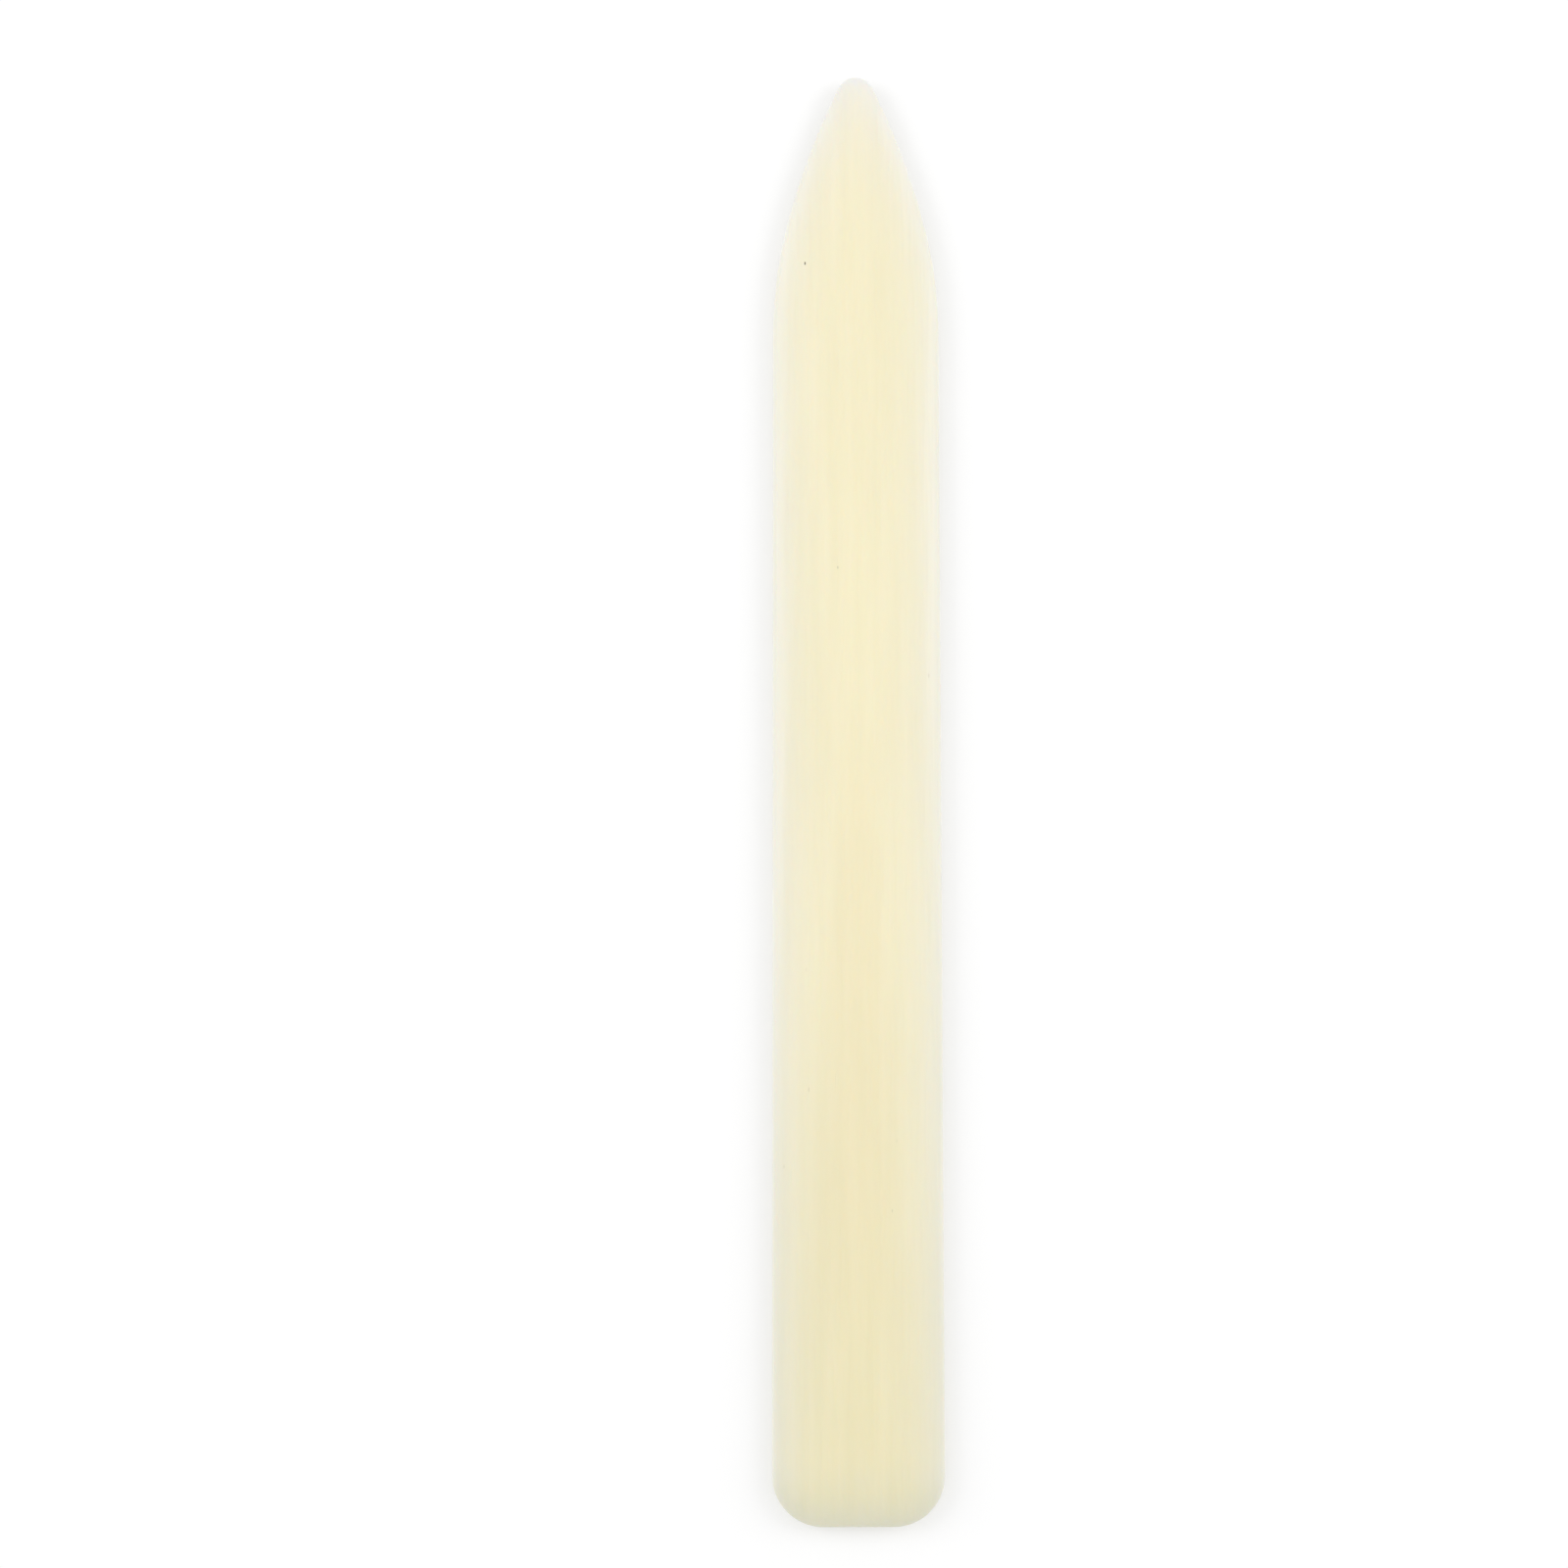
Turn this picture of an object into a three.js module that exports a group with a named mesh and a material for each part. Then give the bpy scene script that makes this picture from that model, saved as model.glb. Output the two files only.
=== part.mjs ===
// A bone folder, the hand tool that creases, scores and burnishes paper and card.
//
// The whole tool is one solid blade of polished bone. It has a long, nearly parallel body,
// a square heel with generous rounded corners, and a point whose sides curve in like a
// pointed arch. Nothing is fixed to it and nothing on it moves.
//
// Units are millimetres and +Z is up. The blade lies flat on its underside, with its length
// along Y and its point at +Y. The origin is under the middle of the blade, on the surface
// that it rests on.

import * as THREE from 'three';
import { LoftGeometry } from 'three/addons/geometries/LoftGeometry.js';
import { mergeVertices } from 'three/addons/utils/BufferGeometryUtils.js';

const { degToRad, lerp } = THREE.MathUtils;

// Outline, seen from above. The body narrows a little from the heel to the shoulder, where
// the point begins.
const LENGTH = 150;
const HEEL_WIDTH = 17.9;
const SHOULDER_WIDTH = 17.1;
const CORNER_RADIUS = 5.3;
const POINT_LENGTH = 26.7;
const SHOULDER_RADIUS = 46.5;
const SHOULDER_TURN = degToRad(15);
const TIP_RADIUS = 1.95;

// Thickness. Each edge is rolled to a half ellipse, and both broad faces are flat between
// the rolls as far as the shoulder. Along the point both faces slope in towards the tip.
const THICKNESS = 3;
const TIP_THICKNESS = 1.8;
const EDGE_ROLL = 4;

// Facets along each curved stretch of one side of the outline, and round a rolled edge. They
// stay within 0.12 mm of the curves. In a physics simulation a blade with these rests on a
// box, where an earlier one with more of them sank in.
const CORNER_STEPS = 4;
const SHOULDER_STEPS = 2;
const FLANK_STEPS = 4;
const TIP_STEPS = 4;
const ROLL_STEPS = 6;

const BONE = { color: 0xf5edca, roughness: 0.42, metalness: 0 };

const HEEL_Y = -LENGTH / 2;
const TIP_Y = LENGTH / 2;
const SHOULDER_Y = TIP_Y - POINT_LENGTH;
const BACKWARD = degToRad(-90);
const FORWARD = degToRad(90);

function direction(angle) {
  return new THREE.Vector2(Math.cos(angle), Math.sin(angle));
}

// Points on an arc of the outline, each with the direction that the edge faces there.
function arc(centre, radius, startAngle, endAngle, steps) {
  return Array.from({ length: steps + 1 }, (_, i) => {
    const outward = direction(lerp(startAngle, endAngle, i / steps));
    return { point: centre.clone().addScaledVector(outward, radius), outward };
  });
}

// The right-hand side of the outline, from the middle of the heel round to the tip. The
// heel edge and the side of the body are the straight stretches between its arcs, and every
// stretch runs smoothly into the next.
function rightSide() {
  const taper = Math.atan2((HEEL_WIDTH - SHOULDER_WIDTH) / 2, SHOULDER_Y - HEEL_Y);
  const cornerInset = CORNER_RADIUS * (Math.tan(taper) + 1 / Math.cos(taper));
  const corner = new THREE.Vector2(HEEL_WIDTH / 2 - cornerInset, HEEL_Y + CORNER_RADIUS);

  const bodyEnd = new THREE.Vector2(SHOULDER_WIDTH / 2, SHOULDER_Y);
  const shoulder = bodyEnd.clone().addScaledVector(direction(taper), -SHOULDER_RADIUS);
  const flankAngle = taper + SHOULDER_TURN;
  const flankStart = shoulder.clone().addScaledVector(direction(flankAngle), SHOULDER_RADIUS);

  // One radius only lets the flank leave the shoulder and meet the round tip smoothly.
  const tip = new THREE.Vector2(0, TIP_Y - TIP_RADIUS);
  const toTip = tip.clone().sub(flankStart);
  const inwardReach = -toTip.dot(direction(flankAngle));
  const flankRadius = (toTip.lengthSq() - TIP_RADIUS ** 2) / (2 * (inwardReach - TIP_RADIUS));
  const flank = flankStart.clone().addScaledVector(direction(flankAngle), -flankRadius);
  const tipAngle = tip.clone().sub(flank).angle();

  return [
    { point: new THREE.Vector2(0, HEEL_Y), outward: direction(BACKWARD) },
    ...arc(corner, CORNER_RADIUS, BACKWARD, taper, CORNER_STEPS),
    ...arc(shoulder, SHOULDER_RADIUS, taper, flankAngle, SHOULDER_STEPS),
    ...arc(flank, flankRadius, flankAngle, tipAngle, FLANK_STEPS).slice(1),
    ...arc(tip, TIP_RADIUS, tipAngle, FORWARD, TIP_STEPS).slice(1),
  ];
}

// Half of the blade's thickness at a place along it.
function halfThickness(y) {
  const alongPoint = Math.max(0, y - SHOULDER_Y) / POINT_LENGTH;
  return lerp(THICKNESS, TIP_THICKNESS, alongPoint ** 2) / 2;
}

// A closed ring round the blade: up the rolled left edge, over the upper face, down the
// rolled right edge and back along the underside. It meets the edge squarely everywhere,
// so its two halves fold together at the heel and at the tip. Where the blade is narrow,
// the two rolls meet on the centre line.
function ringAt({ point, outward }) {
  const centreDistance = outward.y > 0 ? point.x / outward.x : Infinity;
  const roll = Math.min(EDGE_ROLL, centreDistance);
  const ring = [];
  for (const side of [-1, 1]) {
    for (let i = 0; i <= ROLL_STEPS; i++) {
      const angle = side * lerp(FORWARD, BACKWARD, i / ROLL_STEPS);
      const inset = roll * (1 - Math.cos(angle));
      const x = side * (point.x - outward.x * inset);
      const y = point.y - outward.y * inset;
      const z = THICKNESS / 2 + halfThickness(y) * Math.sin(angle);
      ring.push(new THREE.Vector3(x, y, z));
    }
  }
  return ring;
}

// Joins coincident points, and drops the faces that this leaves with no area.
function weld(loft) {
  const surface = new THREE.BufferGeometry();
  surface.setAttribute('position', loft.getAttribute('position'));
  surface.setIndex(loft.getIndex());
  const welded = mergeVertices(surface);
  const corners = welded.index.array;
  const kept = [];
  for (let i = 0; i < corners.length; i += 3) {
    const [a, b, c] = corners.slice(i, i + 3);
    if (a !== b && b !== c && c !== a) kept.push(a, b, c);
  }
  welded.setIndex(kept);
  welded.computeVertexNormals();
  return welded;
}

const blade = new THREE.Mesh(
  weld(new LoftGeometry(rightSide().map(ringAt))),
  new THREE.MeshStandardMaterial(BONE),
);
blade.name = 'bone_blade';

const boneFolder = new THREE.Group();
boneFolder.add(blade);

export default boneFolder;
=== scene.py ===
# A polished bone folder on a pale table, seen from straight above.
#
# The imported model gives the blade's length, width and thickness. This script replaces its
# faceted blade with a fine mesh of the same shape, finished by hand as real bone is, and
# gives it a bone material. Every length here is in metres.

import math

import bmesh
import bpy
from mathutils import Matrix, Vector, noise


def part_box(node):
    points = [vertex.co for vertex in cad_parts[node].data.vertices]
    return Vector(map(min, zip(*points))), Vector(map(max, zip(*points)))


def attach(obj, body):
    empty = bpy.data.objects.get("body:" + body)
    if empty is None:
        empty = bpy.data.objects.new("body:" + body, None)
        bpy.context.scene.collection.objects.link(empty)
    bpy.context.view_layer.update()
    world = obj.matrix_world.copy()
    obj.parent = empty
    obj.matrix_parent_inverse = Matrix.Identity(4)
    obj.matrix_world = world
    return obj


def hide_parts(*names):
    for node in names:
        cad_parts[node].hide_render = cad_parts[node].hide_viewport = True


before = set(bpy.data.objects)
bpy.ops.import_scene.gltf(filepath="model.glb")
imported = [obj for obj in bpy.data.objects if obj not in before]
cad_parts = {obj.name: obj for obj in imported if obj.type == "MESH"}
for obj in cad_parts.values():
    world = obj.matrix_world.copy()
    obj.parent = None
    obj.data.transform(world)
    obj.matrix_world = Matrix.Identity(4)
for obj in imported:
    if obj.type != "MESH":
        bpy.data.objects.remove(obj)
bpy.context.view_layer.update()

MM = 0.001

CAD_NODE = "bone_blade"
LOW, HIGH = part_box(CAD_NODE)
SIZE = HIGH - LOW
HEEL_Y = LOW.y
TIP_Y = HIGH.y
HALF_WIDTH = SIZE.x / 2
MID_Z = (LOW.z + HIGH.z) / 2

# The outline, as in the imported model.
SHOULDER_HALF_WIDTH = 8.55 * MM
CORNER_RADIUS = 5.3 * MM
POINT_LENGTH = 26.7 * MM
SHOULDER_RADIUS = 46.5 * MM
SHOULDER_TURN = math.radians(15)
TIP_RADIUS = 1.95 * MM
SHOULDER_Y = TIP_Y - POINT_LENGTH
EDGE_ROLL = 4.0 * MM
TIP_THINNING = 0.4

# Hand finishing: each broad face is very slightly domed, and scraping and polishing have
# left it a few hundredths of a millimetre out of true.
CROWN = 0.08
FACE_WAVE = 0.05 * MM
FACE_WAVE_LENGTH = Vector((7 * MM, 21 * MM, 7 * MM))
EDGE_WAVE = 0.03 * MM
EDGE_WAVE_LENGTH = 16 * MM

# The right edge reads its waviness from the noise at this place and the left edge from the
# noise at minus it, so that the two edges differ.
EDGE_WAVE_PLACE = 3

# Light from the pale table comes through the thin rims; it is painted into the colour as paler
# rims and fades inwards over this distance. The heel's edge gets less of this painted light, and
# the edge on the other side of the blade gives less than the nearest one.
RIM_FADE = 2.5 * MM
HEEL_LIGHT = 0.5
FAR_EDGE_LIGHT = 0.5

# Steps along each stretch of the outline and across the section.
CORNER_STEPS = 22
BODY_STEPS = 130
SHOULDER_STEPS = 20
FLANK_STEPS = 26
TIP_STEPS = 14
ROLL_STEPS = 42
FACE_STEPS = 12

# Points nearer than this are made one: at the tip, and where the heel's edge meets the sides.
MERGE_DISTANCE = 0.001 * MM

BACKWARD = math.radians(-90)
FORWARD = math.radians(90)

# Bone, as linear colours. The core tint is the warmer inner bone that shows along the middle
# of the lower half. The rim colour is painted light, the table's light seen through the thin
# rims; the tip tint is painted light that pales the thin point; the heel tint is painted shade
# that darkens the blade towards the heel; and the end tint is painted shade on the heel's own
# rolled edge. Each tint multiplies the colour beneath it.
IVORY = (0.866, 0.800, 0.553, 1)
RIM_LIGHT_COLOUR = (0.761, 0.764, 0.718, 1)
CORE_TINT = (0.985, 0.970, 0.945, 1)
TIP_PAINTED_LIGHT = (1.015, 1.012, 1.035, 1)
HEEL_PAINTED_SHADE = (0.932, 0.932, 0.880, 1)
HEEL_EDGE_PAINTED_SHADE = (0.905, 0.935, 0.985, 1)
DARK_FIBRE = (0.984, 0.985, 0.971, 1)
PALE_FIBRE = (1.016, 1.015, 1.029, 1)
CLOUD_SHADE = (0.992, 1.008)
RIM_SHARE = 0.83
HEEL_SHADE_ON_RIM = 0.5

# Where each tint comes in or fades, as a start and an end measured from the tip.
TIP_PALES = (2 * MM, 26 * MM)
CORE_STARTS = (60 * MM, 84 * MM)
CORE_WIDENS = (48 * MM, 140 * MM)
CORE_FADES = (118 * MM, 136 * MM)
HEEL_DEEPENS = (72 * MM, 150 * MM)
END_DARKENS = (142 * MM, 150 * MM)

CORE_HALF_WIDTH = (0.1 * MM, 6.4 * MM)
CORE_EDGE = (0.5, 1.4)
CORE_LEFT_AT_HEEL = 0.25
CORE_SWAY = 0.7 * MM

# Natural marks: places across and from the tip in millimetres, and how dark each one is.
MARKS = ((-5.25, 19.37, 1.0), (-1.95, 50.75, 0.3), (4.0, 109.9, 0.08), (3.5, 117.1, 0.18))
MARK_SIZE = (0.065 * MM, 0.16 * MM, 2 * MM)
MARK_EDGE = (0.6, 1.3)
MARK_TINT = (0.16, 0.12, 0.06, 1)

# The bone's texture: the size of each kind of spot across, along and through the blade, and
# the number of finer layers in it. Clouds and fibres show as colour, grain and scratches as
# relief. Nearly all of a noise's values lie in NOISE_SPAN.
CLOUD_SIZE = (5 * MM, 16 * MM, 5 * MM)
CLOUD_DETAIL = 2.0
FIBRE_SIZE = (1.5 * MM, 34 * MM, 1.5 * MM)
FIBRE_DETAIL = 4.0
GRAIN_SIZE = (0.6 * MM, 12 * MM, 0.6 * MM)
GRAIN_DETAIL = 1.0
SCRATCH_SIZE = (0.12 * MM, 4 * MM, 0.12 * MM)
SCRATCH_DETAIL = 1.0
NOISE_SPAN = (0.3, 0.7)

# Pores: the size of the cells that may each hold one, its edge as a share of its cell, which
# of the cells have one, and how dark the darkest is.
PORE_CELL = (2.5 * MM, 7 * MM, 2.5 * MM)
PORE_EDGE = (0.02, 0.055)
PORE_CHOICE = (0.72, 1.0)
PORE_DARKNESS = 0.14

# The polish, a little duller on the rolled rims. The scratches' height is a share of the
# grain's, which is RELIEF.
CLOUD_ROUGHNESS = (0.30, 0.38)
SCRATCH_ROUGHNESS = (-0.04, 0.04)
RIM_ROUGHNESS = 0.08
SCRATCH_HEIGHT = 0.03
RELIEF = 0.06 * MM

# How bone takes light: its refractive index, the share of the light that scatters under the
# surface, how far that goes, and the part of that distance that red, green and blue go.
BONE_IOR = 1.54
SCATTERED_SHARE = 0.5
SCATTER_DEPTH = 0.8 * MM
SCATTER_REACH = (1.0, 0.8, 0.55)

# The table and the light. The table lies just under the blade, and glows a little so that it
# looks white. The right key light stands at KEY_PLACE and the left one opposite it.
WHITE = (1, 1, 1, 1)
TABLE_SIZE = 8.0
TABLE_GAP = 0.02 * MM
TABLE_COLOUR = (0.7, 0.7, 0.7, 1)
TABLE_GLOW = 0.26
ROOM_BRIGHTNESS = 0.86
KEY_PLACE = Vector((0.52, 0.16, 0.34))
KEY_SIZE = 0.4
KEY_POWER = 1.0


def make_camera():
    """A long lens straight above, with the point at the top and the blade right of centre."""
    seen_width = 162.3 * MM
    aim = Vector((-7.55 * MM, 1.93 * MM, MID_Z))
    roll = math.radians(-0.14)
    data = bpy.data.cameras.new("camera")
    data.lens = 85.0
    data.sensor_width = 36.0
    data.clip_start = 0.01
    camera = bpy.data.objects.new("camera", data)
    camera.location = aim + Vector((0, 0, seen_width * data.lens / data.sensor_width))
    camera.rotation_euler = (0, 0, roll)
    bpy.context.scene.collection.objects.link(camera)
    bpy.context.scene.camera = camera


def direction(angle):
    return Vector((math.cos(angle), math.sin(angle)))


def arc(centre, radius, start, end, steps):
    """(point, outward direction) pairs along an arc of the outline."""
    turns = [direction(start + (end - start) * i / steps) for i in range(steps + 1)]
    return [(centre + turn * radius, turn) for turn in turns]


def straight(start, end, angle, steps):
    """(point, outward direction) pairs along a straight stretch of the outline."""
    return [(start.lerp(end, i / steps), direction(angle)) for i in range(steps + 1)]


def right_side():
    """The right-hand side of the outline, from the end of the straight heel to the tip."""
    corner = Vector((HALF_WIDTH - CORNER_RADIUS, HEEL_Y + CORNER_RADIUS))
    body_end = Vector((SHOULDER_HALF_WIDTH, SHOULDER_Y))
    # The side of the body touches the corner's circle and ends at the shoulder.
    span = body_end - corner
    taper = math.atan2(span.y, span.x) - math.acos(CORNER_RADIUS / span.length)
    flank_angle = taper + SHOULDER_TURN

    shoulder = body_end - direction(taper) * SHOULDER_RADIUS
    flank_start = shoulder + direction(flank_angle) * SHOULDER_RADIUS
    tip = Vector((0, TIP_Y - TIP_RADIUS))
    to_tip = tip - flank_start
    inward_reach = -to_tip.dot(direction(flank_angle))
    flank_radius = (to_tip.length_squared - TIP_RADIUS**2) / (2 * (inward_reach - TIP_RADIUS))
    flank = flank_start - direction(flank_angle) * flank_radius
    tip_angle = math.atan2(tip.y - flank.y, tip.x - flank.x)

    body_start = corner + direction(taper) * CORNER_RADIUS
    return [
        *arc(corner, CORNER_RADIUS, BACKWARD, taper, CORNER_STEPS),
        *straight(body_start, body_end, taper, BODY_STEPS)[1:],
        *arc(shoulder, SHOULDER_RADIUS, taper, flank_angle, SHOULDER_STEPS)[1:],
        *arc(flank, flank_radius, flank_angle, tip_angle, FLANK_STEPS)[1:],
        *arc(tip, TIP_RADIUS, tip_angle, FORWARD, TIP_STEPS)[1:],
    ]


def surface_point(x, y, height):
    """A point of the finished surface. height is -1 on the underside and 1 on top."""
    along_point = max(0.0, y - SHOULDER_Y) / POINT_LENGTH
    half = SIZE.z / 2 * (1 - TIP_THINNING * along_point**2)
    half *= 1 - CROWN * (x / HALF_WIDTH) ** 2
    place = Vector((x, y, math.copysign(MID_Z, height)))
    wave = noise.noise(Vector(a / b for a, b in zip(place, FACE_WAVE_LENGTH)))
    half -= FACE_WAVE * (0.5 + 0.5 * wave)
    wave_place = math.copysign(EDGE_WAVE_PLACE, x)
    swing = noise.noise(Vector((wave_place, y / EDGE_WAVE_LENGTH, 0)))
    x += math.copysign(EDGE_WAVE * swing * min(1, abs(x) / TIP_RADIUS), x)
    return Vector((x, y, MID_Z + half * height))


def rim_light(x, distance, outward):
    """How much light reaches a point through the nearest edge and the one across from it."""
    side = 1 + min(0, outward.y)
    near = math.exp(-distance / RIM_FADE)
    far = math.exp(-(distance + 2 * abs(x)) / RIM_FADE)
    return near * (HEEL_LIGHT + (1 - HEEL_LIGHT) * side) + far * FAR_EDGE_LIGHT * side


def rolled_edge(point, outward):
    """(x, y, height, distance from the edge) round an edge, from the top to the underside."""
    centre_distance = point.x / outward.x if outward.y > 0 else math.inf
    roll = min(EDGE_ROLL, centre_distance)
    points = []
    for i in range(ROLL_STEPS + 1):
        angle = FORWARD - math.pi * i / ROLL_STEPS
        inset = roll * (1 - math.cos(angle))
        place = point - outward * inset
        points.append((place.x, place.y, math.sin(angle), inset))
    return points


def face_row(start):
    """The same for a row across a broad face, from one rolled edge to the other."""
    x, y, height, inset = start
    row = []
    for i in range(1, FACE_STEPS):
        across = x * (1 - 2 * i / FACE_STEPS)
        row.append((across, y, height, min(inset + abs(x) - abs(across), y - HEEL_Y)))
    return row


def ring_at(point, outward):
    """A closed ring round the blade: an edge, the underside, the other edge and the top."""
    right = rolled_edge(point, outward)
    left = [(-x, y, height, inset) for x, y, height, inset in reversed(right)]
    return right + face_row(right[-1]) + left + face_row(left[-1])


def skin(shape, rows, outwards, closed):
    """Joins rows of points with faces, and stores the rim light at each point."""
    light = shape.verts.layers.float["rim_light"]
    grid = []
    for row, outward in zip(rows, outwards):
        vertices = []
        for x, y, height, distance in row:
            vertex = shape.verts.new(surface_point(x, y, height))
            vertex[light] = rim_light(x, distance, outward)
            vertices.append(vertex)
        grid.append(vertices)
    for near, far in zip(grid, grid[1:]):
        for i in range(0 if closed else 1, len(near)):
            shape.faces.new((near[i - 1], near[i], far[i], far[i - 1]))


def make_blade():
    """The whole folder: rings from the heel to the tip, and the rolled edge of the heel."""
    shape = bmesh.new()
    shape.verts.layers.float.new("rim_light")
    side = right_side()
    rings = [ring_at(point, outward) for point, outward in side]
    skin(shape, rings, [outward for point, outward in side], closed=True)

    heel_reach = HALF_WIDTH - CORNER_RADIUS
    heel_points = [(heel_reach * (1 - 2 * i / FACE_STEPS), HEEL_Y) for i in range(FACE_STEPS + 1)]
    outward = direction(BACKWARD)
    heel = [rolled_edge(Vector(point), outward) for point in heel_points]
    skin(shape, heel, [outward] * len(heel), closed=False)

    bmesh.ops.remove_doubles(shape, verts=shape.verts, dist=MERGE_DISTANCE)
    bmesh.ops.recalc_face_normals(shape, faces=shape.faces)
    mesh = bpy.data.meshes.new("polished_blade")
    shape.to_mesh(mesh)
    shape.free()
    mesh.shade_smooth()
    blade = bpy.data.objects.new("polished_blade", mesh)
    bpy.context.scene.collection.objects.link(blade)
    return blade


class Nodes:
    """Adds shader nodes to a material, taking numbers, colours and sockets as inputs."""

    def __init__(self, material):
        material.use_nodes = True
        self.tree = material.node_tree
        self.shader = self.tree.nodes["Principled BSDF"]

    def feed(self, socket, value):
        """Links the socket to value if that is a socket too, or else holds it at value."""
        if isinstance(value, bpy.types.NodeSocket):
            self.tree.links.new(value, socket)
        else:
            socket.default_value = value

    def set(self, node, name, value):
        self.feed(node.inputs[name], value)

    def add(self, kind, inputs, **settings):
        node = self.tree.nodes.new(kind)
        for name, value in settings.items():
            setattr(node, name, value)
        for name, value in inputs.items():
            self.set(node, name, value)
        return node

    def math(self, operation, first, second=0.0):
        inputs = {0: first, 1: second}
        return self.add("ShaderNodeMath", inputs, operation=operation).outputs[0]

    def scaled(self, vector, size):
        """The coordinates measured in units of size along each axis."""
        inputs = {0: vector, 1: size}
        return self.add("ShaderNodeVectorMath", inputs, operation="DIVIDE").outputs[0]

    def ramp(self, value, span, low=0.0, high=1.0, kind="LINEAR"):
        """low up to the start of the span, high from its end on, and a slope between them."""
        start, end = span
        inputs = {"Value": value, "From Min": start, "From Max": end, "To Min": low, "To Max": high}
        return self.add("ShaderNodeMapRange", inputs, interpolation_type=kind).outputs[0]

    def smooth(self, value, span, low=0.0, high=1.0):
        """The same with an S-shaped slope."""
        return self.ramp(value, span, low, high, "SMOOTHSTEP")

    def noise(self, place, size, detail):
        """Cloudy noise from 0 to 1, with its coarsest spots of the given size."""
        inputs = {"Vector": self.scaled(place, size), "Scale": 1.0, "Detail": detail}
        return self.add("ShaderNodeTexNoise", inputs).outputs["Fac"]

    def mix(self, share, first, second, blend="MIX"):
        node = self.add("ShaderNodeMix", {}, data_type="RGBA", blend_type=blend)
        for name, value in (("Factor_Float", share), ("A_Color", first), ("B_Color", second)):
            self.feed(next(s for s in node.inputs if s.identifier == name), value)
        return next(s for s in node.outputs if s.identifier == "Result_Color")


def core_share(nodes, x, from_tip, clouds):
    """The warm core: a tongue from mid length, widening and fading towards the heel."""
    sway = nodes.ramp(clouds, NOISE_SPAN, -CORE_SWAY, CORE_SWAY)
    middle_distance = nodes.math("ABSOLUTE", nodes.math("ADD", x, sway))
    half_width = nodes.ramp(from_tip, CORE_WIDENS, *CORE_HALF_WIDTH)
    share = nodes.smooth(nodes.math("DIVIDE", middle_distance, half_width), CORE_EDGE, 1.0, 0.0)
    share = nodes.math("MULTIPLY", share, nodes.smooth(from_tip, CORE_STARTS))
    fade = nodes.smooth(from_tip, CORE_FADES, 1.0, CORE_LEFT_AT_HEEL)
    return nodes.math("MULTIPLY", share, fade)


def pore_share(nodes, place):
    """Faint pores: short dark flecks along the grain, in a few of the cells."""
    inputs = {"Vector": nodes.scaled(place, PORE_CELL), "Scale": 1.0}
    cells = nodes.add("ShaderNodeTexVoronoi", inputs)
    fleck = nodes.smooth(cells.outputs["Distance"], PORE_EDGE, 1.0, 0.0)
    chance = nodes.add("ShaderNodeSeparateColor", {0: cells.outputs["Color"]}).outputs[0]
    return nodes.math("MULTIPLY", fleck, nodes.smooth(chance, PORE_CHOICE, 0.0, PORE_DARKNESS))


def mark_share(nodes, place):
    """The few dark natural marks on the upper face."""
    share = 0.0
    for across, from_tip, darkness in MARKS:
        centre = (across * MM, TIP_Y - from_tip * MM, HIGH.z)
        inputs = {0: place, 1: centre}
        offset = nodes.add("ShaderNodeVectorMath", inputs, operation="SUBTRACT").outputs[0]
        inputs = {0: nodes.scaled(offset, MARK_SIZE)}
        reach = nodes.add("ShaderNodeVectorMath", inputs, operation="LENGTH").outputs["Value"]
        share = nodes.math("ADD", share, nodes.smooth(reach, MARK_EDGE, darkness, 0.0))
    return share


def bone_colour(nodes, place, light, clouds, fibres, marks):
    """Ivory with a warm core, painted light on the rims and point, painted shade towards the heel,
    soft streaks and marks.
    """
    x, y = nodes.add("ShaderNodeSeparateXYZ", {0: place}).outputs[:2]
    from_tip = nodes.math("SUBTRACT", TIP_Y, y)
    tip = nodes.smooth(from_tip, TIP_PALES, 1.0, 0.0)
    # Painted shade: darker towards the heel, half as strong where the painted rim light is full.
    heel = nodes.smooth(from_tip, HEEL_DEEPENS)
    heel = nodes.math("MULTIPLY", heel, nodes.ramp(light, (0.0, 1.0), 1.0, HEEL_SHADE_ON_RIM))
    streaks = nodes.mix(nodes.ramp(fibres, NOISE_SPAN), DARK_FIBRE, PALE_FIBRE)

    colour = nodes.mix(core_share(nodes, x, from_tip, clouds), IVORY, CORE_TINT, "MULTIPLY")
    # Painted light: the rims are paler where the table's light would show through them.
    colour = nodes.mix(nodes.math("MULTIPLY", light, RIM_SHARE), colour, RIM_LIGHT_COLOUR)
    # Painted light: the thin point paler and brighter.
    colour = nodes.mix(tip, colour, TIP_PAINTED_LIGHT, "MULTIPLY")
    colour = nodes.mix(heel, colour, HEEL_PAINTED_SHADE, "MULTIPLY")
    # Painted shade on the heel's own rolled edge.
    colour = nodes.mix(nodes.smooth(from_tip, END_DARKENS), colour, HEEL_EDGE_PAINTED_SHADE, "MULTIPLY")
    colour = nodes.mix(1.0, colour, streaks, "MULTIPLY")
    colour = nodes.mix(1.0, colour, nodes.ramp(clouds, NOISE_SPAN, *CLOUD_SHADE), "MULTIPLY")
    return nodes.mix(marks, colour, MARK_TINT)


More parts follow.
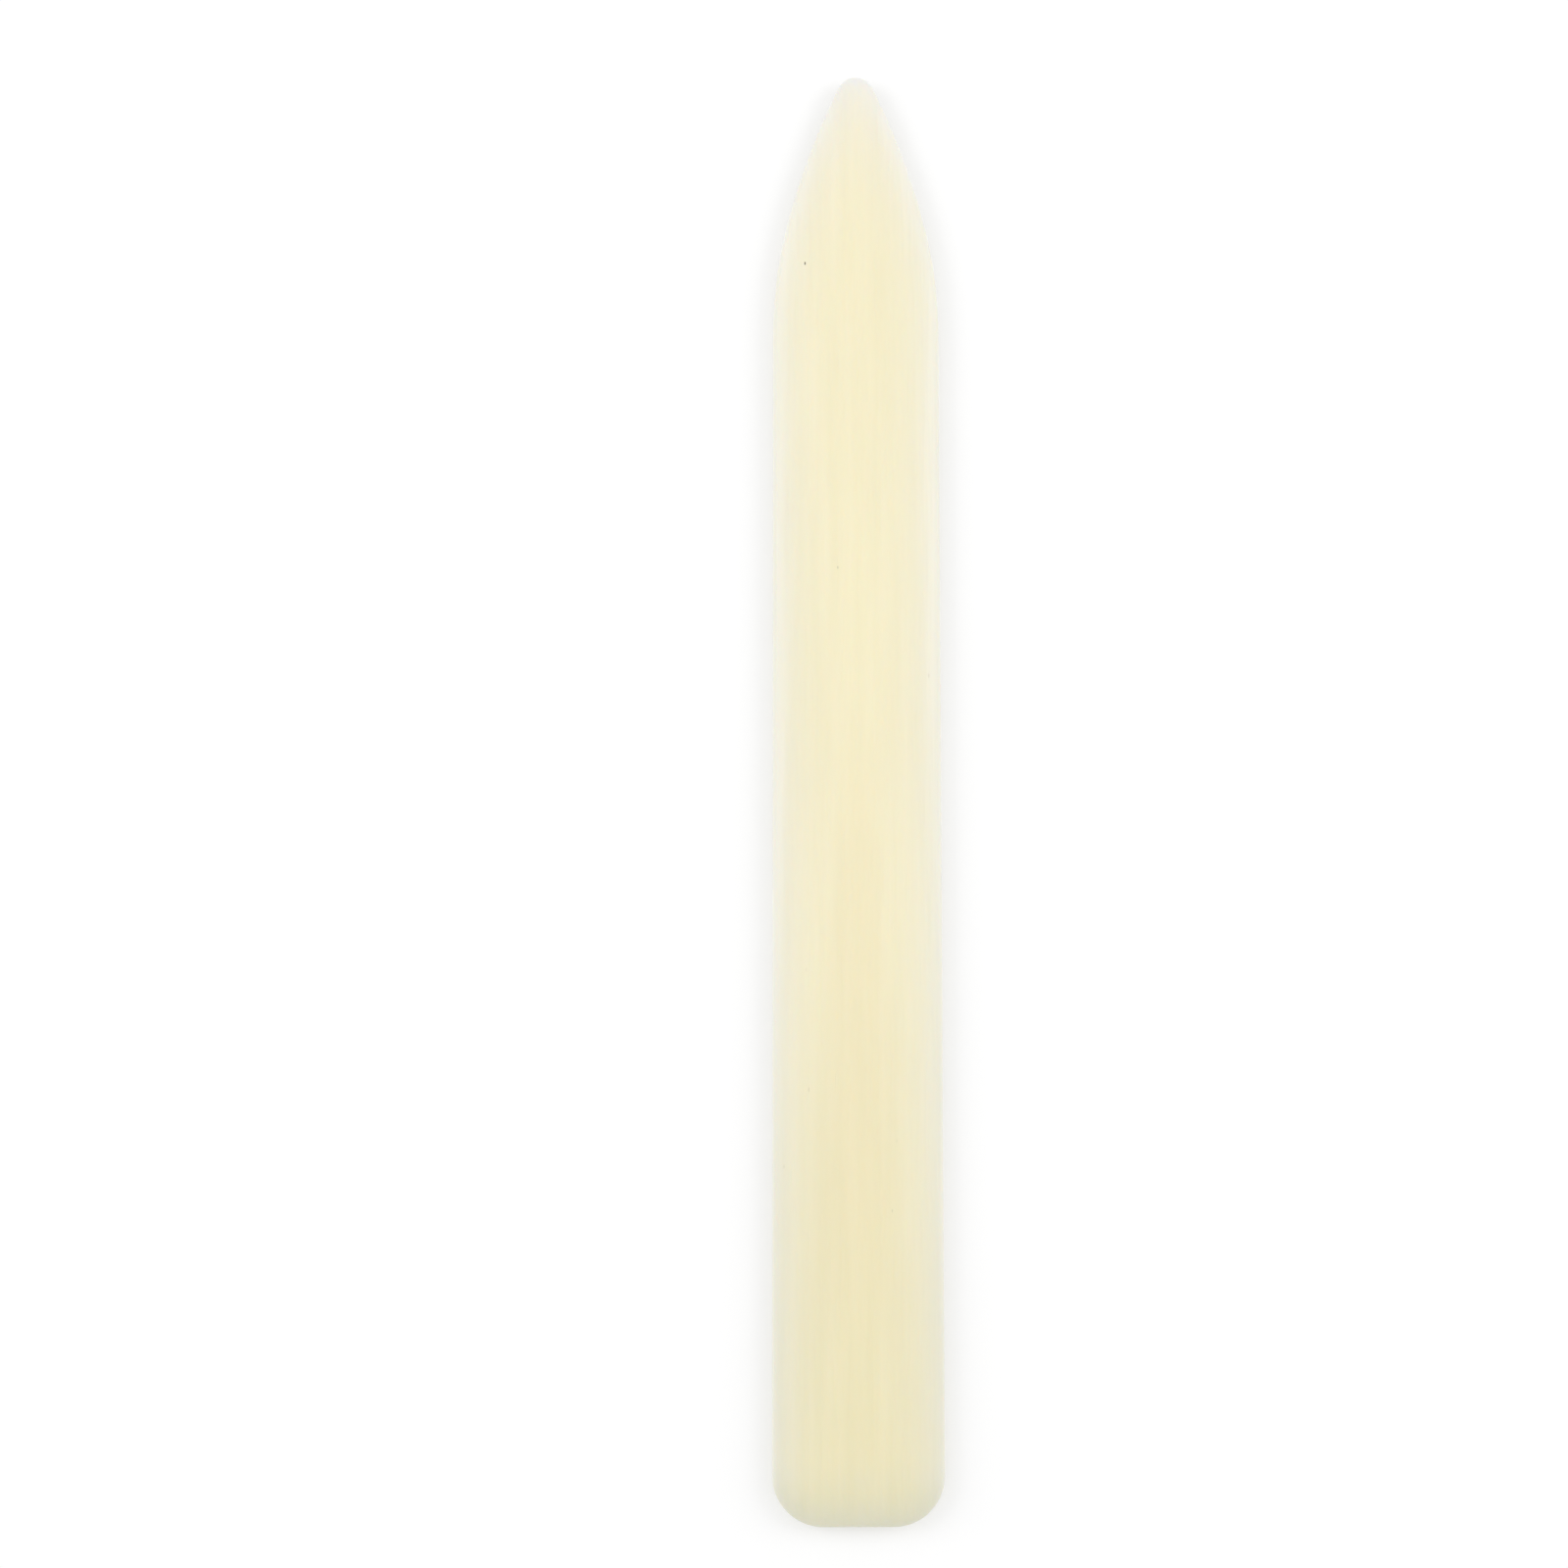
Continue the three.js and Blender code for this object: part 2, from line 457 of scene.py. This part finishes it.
def bone_material():
    """Polished bone: coloured as above, satin, slightly translucent and finely scratched."""
    material = bpy.data.materials.new("polished_bone")
    nodes = Nodes(material)
    place = nodes.add("ShaderNodeTexCoord", {}).outputs["Object"]
    light = nodes.add("ShaderNodeAttribute", {}, attribute_name="rim_light").outputs["Fac"]
    clouds = nodes.noise(place, CLOUD_SIZE, CLOUD_DETAIL)
    fibres = nodes.noise(place, FIBRE_SIZE, FIBRE_DETAIL)
    grain = nodes.noise(place, GRAIN_SIZE, GRAIN_DETAIL)
    scratches = nodes.noise(place, SCRATCH_SIZE, SCRATCH_DETAIL)
    marks = nodes.math("ADD", mark_share(nodes, place), pore_share(nodes, place))
    colour = bone_colour(nodes, place, light, clouds, fibres, marks)
    nodes.set(nodes.shader, "Base Color", colour)

    roughness = nodes.ramp(clouds, NOISE_SPAN, *CLOUD_ROUGHNESS)
    scuffs = nodes.ramp(scratches, NOISE_SPAN, *SCRATCH_ROUGHNESS)
    roughness = nodes.math("ADD", roughness, scuffs)
    roughness = nodes.math("ADD", roughness, nodes.math("MULTIPLY", light, RIM_ROUGHNESS))
    nodes.set(nodes.shader, "Roughness", roughness)

    height = nodes.math("ADD", grain, nodes.math("MULTIPLY", scratches, SCRATCH_HEIGHT))
    height = nodes.math("SUBTRACT", height, marks)
    bump = nodes.add("ShaderNodeBump", {"Height": height, "Strength": 1.0, "Distance": RELIEF})
    nodes.set(nodes.shader, "Normal", bump.outputs["Normal"])
    nodes.set(nodes.shader, "IOR", BONE_IOR)
    nodes.set(nodes.shader, "Subsurface Weight", SCATTERED_SHARE)
    nodes.set(nodes.shader, "Subsurface Radius", SCATTER_REACH)
    nodes.set(nodes.shader, "Subsurface Scale", SCATTER_DEPTH)
    return material


def make_floor():
    """The pale table, which has no shine."""
    bpy.ops.mesh.primitive_plane_add(size=TABLE_SIZE, location=(0, 0, -TABLE_GAP))
    floor = bpy.context.object
    floor.name = "floor"
    material = bpy.data.materials.new("floor")
    nodes = Nodes(material)
    nodes.set(nodes.shader, "Base Color", TABLE_COLOUR)
    nodes.set(nodes.shader, "Roughness", 1.0)
    nodes.set(nodes.shader, "Specular IOR Level", 0.0)
    nodes.set(nodes.shader, "Emission Color", WHITE)
    nodes.set(nodes.shader, "Emission Strength", TABLE_GLOW)
    floor.data.materials.append(material)


def key_light(name, place):
    """A square soft light that faces the blade and stays out of the picture."""
    data = bpy.data.lights.new(name, "AREA")
    data.size = KEY_SIZE
    data.energy = KEY_POWER
    light = bpy.data.objects.new(name, data)
    light.location = place
    light.rotation_euler = (-light.location).to_track_quat("-Z", "Y").to_euler()
    light.visible_camera = False
    bpy.context.scene.collection.objects.link(light)


def make_light():
    """A pale room and two large soft lights, left and right and past the blade's point."""
    world = bpy.data.worlds.new("studio")
    world.use_nodes = True
    background = world.node_tree.nodes["Background"]
    background.inputs["Color"].default_value = WHITE
    background.inputs["Strength"].default_value = ROOM_BRIGHTNESS
    bpy.context.scene.world = world
    key_light("left_key", KEY_PLACE * Vector((-1, 1, 1)))
    key_light("right_key", KEY_PLACE)


bpy.context.scene.view_settings.view_transform = "Standard"
make_camera()
blade = make_blade()
blade.data.materials.append(bone_material())
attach(blade, "root")
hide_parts(CAD_NODE)
make_floor()
make_light()
